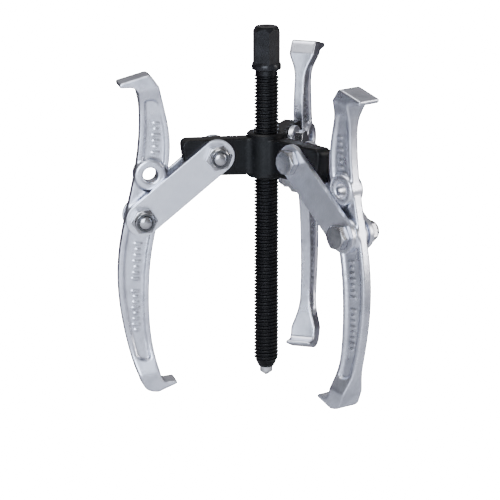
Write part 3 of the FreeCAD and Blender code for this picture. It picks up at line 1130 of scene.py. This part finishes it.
@dataclass(frozen=True)
class Fasteners:
    """The pivot bolts and their lock nuts, each modelled once along Z and copied to six pivots."""

    radius: float = 0.0040
    flats: float = 0.0130
    strap_face: float = 0.0082
    head_height: float = 0.0053
    nut_height: float = 0.0052
    collar_height: float = 0.0025
    collar_radius: float = 0.00575
    mouth: float = 0.0049
    past_nut: float = 0.0011
    dome: float = 0.0013
    face_share: float = 0.95
    chamfer_angle: float = 30.0
    margin: float = 0.0001
    soft: float = 0.00026
    soft_crease: float = 20.0
    shade_crease: float = 28.0
    rim_step: float = 0.0004
    sunk: float = 0.0004
    dome_step: float = 15.0
    steps: int = 40
    bulge: float = 0.0014
    roll_angles: Tuple[float, ...] = (0.0, 18.0, 36.0, 54.0, 68.0)
    thread_gap: float = 0.00002
    collar_root: float = 0.0006
    collar_foot: float = 0.0003
    drill_past: float = 0.001
    turns: Tuple[Tuple[Arm, End, float], ...] = (
        (Arm.LEFT, End.YOKE, 11.0), (Arm.LEFT, End.JAW, 4.0), (Arm.RIGHT, End.YOKE, 2.0),
        (Arm.RIGHT, End.JAW, 14.0), (Arm.REAR, End.YOKE, 22.0), (Arm.REAR, End.JAW, 8.0))

    def hexagon(self, name: str, low: float, high: float) -> Object:
        """Models a hexagon with its corners turned down at both ends.

        Args:
            name: Name of the piece.
            low: Height of the lower face.
            high: Height of the upper face.

        Returns:
            The hexagon.
        """
        corner = self.flats / math.sqrt(3)
        face = self.flats / 2 * self.face_share
        drop = (corner - face) * math.tan(math.radians(self.chamfer_angle))
        past = corner + self.margin
        bar = Bench.prism(name, self.flats, low, high)
        shape = Bench.turned("turned corners", [
            (0.0, low), (face, low), (past, low + drop), (past, high - drop), (face, high), (0.0, high)])
        Bench.cut(bar, shape, Cut.INTERSECT)
        Bench.soften(bar, self.soft, self.soft_crease)
        return bar

    def bolt(self) -> Object:
        """Models a bolt with a domed end.

        Returns:
            The bolt.
        """
        head = self.hexagon("bolt pattern", -self.strap_face - self.head_height, -self.strap_face)
        end = self.strap_face + self.nut_height + self.collar_height + self.past_nut
        rim = self.radius - self.rim_step
        slopes = [math.radians(self.dome_step * step) for step in range(6)]
        dome = [(rim * math.cos(slope), end - self.dome + self.dome * math.sin(slope)) for slope in slopes]
        inside = -self.strap_face - self.sunk
        shank = Bench.turned("shank", [
            (0.0, inside), (self.radius, inside), (self.radius, end - self.dome - self.rim_step),
            *dome, (0.0, end)], self.steps)
        return Bench.join(head, shank)

    def nut(self) -> Object:
        """Models a lock nut with a rolled collar.

        Returns:
            The nut.
        """
        low, high = self.strap_face, self.strap_face + self.nut_height
        top = high + self.collar_height
        body = self.hexagon("nut pattern", low, high)
        slopes = [math.radians(angle) for angle in self.roll_angles]
        roll = [(self.collar_radius - self.bulge + self.bulge * math.cos(slope),
                 top - self.bulge + self.bulge * math.sin(slope)) for slope in slopes]
        bore = self.radius + self.thread_gap
        foot = self.collar_radius + self.collar_foot
        sunk = high - self.collar_root
        collar = Bench.turned("collar", [
            (bore, sunk), (foot, sunk), (foot, high), (self.collar_radius, high + self.collar_foot), *roll,
            (self.mouth + self.margin, top), (self.mouth, top - self.margin),
            (self.mouth, high + self.margin), (bore, high + self.margin), (bore, sunk)])
        start, end = low - self.drill_past, high + self.drill_past
        hole = Bench.turned("hole", [(0.0, start), (bore, start), (bore, end), (0.0, end)], self.steps)
        Bench.cut(body, hole, Cut.DIFFERENCE)
        return Bench.join(body, collar)

    def build(self, places: Mapping[Arm, ArmPlace], paintbox: Paintbox) -> None:
        """Copies the bolt and nut to every pivot.

        Args:
            places: Where the arms stand.
            paintbox: The materials.
        """
        bolt, nut = self.bolt(), self.nut()
        for arm, end, turn in self.turns:
            node = "{}_{}".format(arm.value, end.value)
            for pattern, kind, angle in ((bolt, "bolt", 0.0), (nut, "nut", turn)):
                name = "{}_{}_steel".format(node, kind)
                piece = Bench.twin(pattern, name, places[arm].bolt_frame(end, angle))
                Bench.shade(piece, self.shade_crease, True)
                paintbox.paint(piece, "plated fastener")
                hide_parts(node + "_" + kind)
                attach(piece, arm.value + "_straps")
        Bench.discard(bolt, nut)
        LOG.info("bolts and nuts: 12")


class CadPieces:
    """The CAD nodes that are shown as they are."""

    FINISH_OF: Dict[str, str] = {"yoke": "black casting", "centre_point": "ground steel",
                                 "thrust_ball": "ground steel"}

    def build(self, paintbox: Paintbox) -> None:
        """Paints the nodes.

        Args:
            paintbox: The materials.
        """
        names = dict(self.FINISH_OF)
        for arm in Arm:
            for end in End:
                names["{}_{}_nut_insert".format(arm.value, end.value)] = "dark nylon"
        for name, finish in names.items():
            paintbox.paint(frame["nodes"][name], finish)


@dataclass(frozen=True)
class SoftBox:
    """A soft box: where it hangs, its width and height, its power in watts and its tint."""

    name: str
    spot: Spot
    size: Point
    power: float
    tint: Colour


@dataclass(frozen=True)
class Studio:
    """The floor, the lights and the camera."""

    azimuth: float = 11.6
    elevation: float = 12.23
    distance: float = 2.2025
    lens: float = 283.2
    look_azimuth: float = 11.356
    look_elevation: float = 13.665
    floor_size: float = 8.0
    floor_gap: float = 0.040
    aim: Spot = (0.0, 0.0, 0.1)
    shade_start: float = -0.35
    shade_end: float = 0.35
    right_shade: float = 0.6
    shaded: Colour = (0.10, 0.10, 0.11)
    lit: Colour = (0.85, 0.86, 0.90)
    glow: float = 30.0
    glow_share: float = 0.9
    right_start: float = 0.12
    right_end: float = 0.45
    sky_back: Colour = (0.10, 0.10, 0.11)
    sky_front: Colour = (0.95, 0.97, 1.0)
    sky_high: Colour = (0.62, 0.62, 0.63)
    sky_power: float = 0.6
    sky_front_reach: Point = (0.3, -0.7)
    sky_right_reach: Point = (0.3, 0.9)
    sky_high_reach: Point = (0.05, 0.30)
    view_end: float = 50.0
    soft_boxes: Tuple[SoftBox, ...] = (
        SoftBox("key", (-0.8, -1.8, 0.70), (1.3, 1.3), 60.0, (0.80, 0.88, 1.0)),
        SoftBox("side", (1.7, -0.7, 0.6), (0.2, 1.2), 16.0, (1.0, 0.97, 0.94)),
        SoftBox("top", (-0.3, 0.1, 1.7), (1.2, 0.9), 18.0, (1.0, 1.0, 1.0)),
    )

    def floor(self) -> None:
        """Lays a pale floor so far down that the screw clears it when it is turned all the way in."""
        bpy.ops.object.select_all(action="DESELECT")
        height = CAD_BOUNDS[0][2] - self.floor_gap
        bpy.ops.mesh.primitive_plane_add(size=self.floor_size, location=(0.0, 0.0, height))
        floor = bpy.context.active_object
        floor.name = "floor"
        material = bpy.data.materials.new("pale floor")
        material.use_nodes = True
        graph = Graph(material.node_tree)
        # Painted shade: for rays other than camera rays the floor's colour is shaded towards the back and the
        # right and lit towards the front; camera rays see the even glow.
        spread = graph.node("ShaderNodeSeparateXYZ", None, {"Vector": graph.place()})
        front = graph.wire(spread, "Y").ramp(self.shade_end, self.shade_start)
        right = graph.wire(spread, "X").ramp(self.right_start, self.right_end)
        tone = graph.blend(front * (1.0 - right * self.right_shade), self.shaded, self.lit)
        paper = graph.node("ShaderNodeBsdfDiffuse", None, {"Color": tone})
        glow = graph.node("ShaderNodeEmission", None, {"Color": WHITE, "Strength": self.glow})
        seen = graph.wire(graph.node("ShaderNodeLightPath"), "Is Camera Ray") * self.glow_share
        mixed = graph.node("ShaderNodeMixShader", None, {
            0: seen, 1: graph.wire(paper, "BSDF"), 2: graph.wire(glow, "Emission")})
        graph.node("ShaderNodeOutputMaterial", None, {"Surface": graph.wire(mixed, "Shader")})
        floor.data.materials.append(material)

    def hang(self, box: SoftBox) -> None:
        """Hangs a soft box, facing the puller.

        Args:
            box: The soft box.
        """
        light = bpy.data.lights.new(box.name, "AREA")
        light.shape = "RECTANGLE"
        light.size, light.size_y = box.size
        light.energy = box.power
        light.color = box.tint
        holder = bpy.data.objects.new(box.name, light)
        bpy.context.scene.collection.objects.link(holder)
        holder.location = box.spot
        holder.rotation_euler = (Vector(self.aim) - Vector(box.spot)).to_track_quat("-Z", "Y").to_euler()

    def world(self) -> None:
        """Lights the scene from the front and above, behind a background of plain paper."""
        world = bpy.data.worlds.new("studio")
        bpy.context.scene.world = world
        world.use_nodes = True
        graph = Graph(world.node_tree)
        spread = graph.node("ShaderNodeSeparateXYZ", None, {"Vector": graph.wire(
            graph.node("ShaderNodeTexCoord"), "Generated")})
        front = graph.wire(spread, "Y").ramp(*self.sky_front_reach)
        right = graph.wire(spread, "X").ramp(*self.sky_right_reach)
        low = graph.blend(front * (1.0 - right * self.right_shade), self.sky_back, self.sky_front)
        high = graph.wire(spread, "Z").ramp(*self.sky_high_reach)
        tone = graph.blend(high, low, self.sky_high)
        sky = graph.node("ShaderNodeBackground", None, {"Color": tone, "Strength": self.sky_power})
        paper = graph.node("ShaderNodeBackground", None, {"Color": WHITE, "Strength": self.glow})
        seen = graph.wire(graph.node("ShaderNodeLightPath"), "Is Camera Ray")
        mixed = graph.node("ShaderNodeMixShader", None, {
            0: seen, 1: graph.wire(sky, "Background"), 2: graph.wire(paper, "Background")})
        graph.node("ShaderNodeOutputWorld", None, {"Surface": graph.wire(mixed, "Shader")})

    @staticmethod
    def heading(azimuth: float, elevation: float) -> Vector:
        """Gives the way a camera looks.

        Args:
            azimuth: How far it is turned from +Y towards +X, in degrees.
            elevation: How far it looks down, in degrees.

        Returns:
            The direction, of length one.
        """
        turn, tip = math.radians(azimuth), math.radians(elevation)
        return Vector((math.sin(turn) * math.cos(tip), math.cos(turn) * math.cos(tip), -math.sin(tip)))

    def camera(self, pivot_height: float) -> None:
        """Places the camera by the yoke and turns it to the middle of the puller.

        Args:
            pivot_height: Height of the yoke's pivots.
        """
        back = self.heading(self.azimuth, self.elevation) * self.distance
        spot = Vector((0.0, 0.0, pivot_height)) - back
        away = self.heading(self.look_azimuth, self.look_elevation)
        right = away.cross(Vector((0.0, 0.0, 1.0))).normalized()
        up = right.cross(away)
        data = bpy.data.cameras.new("camera")
        data.lens = self.lens
        data.clip_end = self.view_end
        camera = bpy.data.objects.new("camera", data)
        bpy.context.scene.collection.objects.link(camera)
        camera.matrix_world = Matrix.Translation(spot) @ Matrix((right, up, -away)).transposed().to_4x4()
        bpy.context.scene.camera = camera

    def build(self, pivot_height: float) -> None:
        """Sets up the whole studio.

        Args:
            pivot_height: Height of the yoke's pivots.
        """
        self.floor()
        self.world()
        for box in self.soft_boxes:
            self.hang(box)
        self.camera(pivot_height)


def main() -> None:
    """Builds the looks of the gear puller on the CAD frame."""
    logging.basicConfig(level=logging.INFO, format="%(name)s: %(message)s")
    paintbox = Paintbox(FINISHES)
    places = {arm: ArmPlace.read(arm) for arm in Arm}
    CadPieces().build(paintbox)
    ForcingScrew().build(paintbox)
    JawForging().build(places, paintbox)
    StrapPair().build(places, paintbox)
    Fasteners().build(places, paintbox)
    Studio().build(places[Arm.LEFT].yoke_pivot.z)


if __name__ == "__main__":
    main()
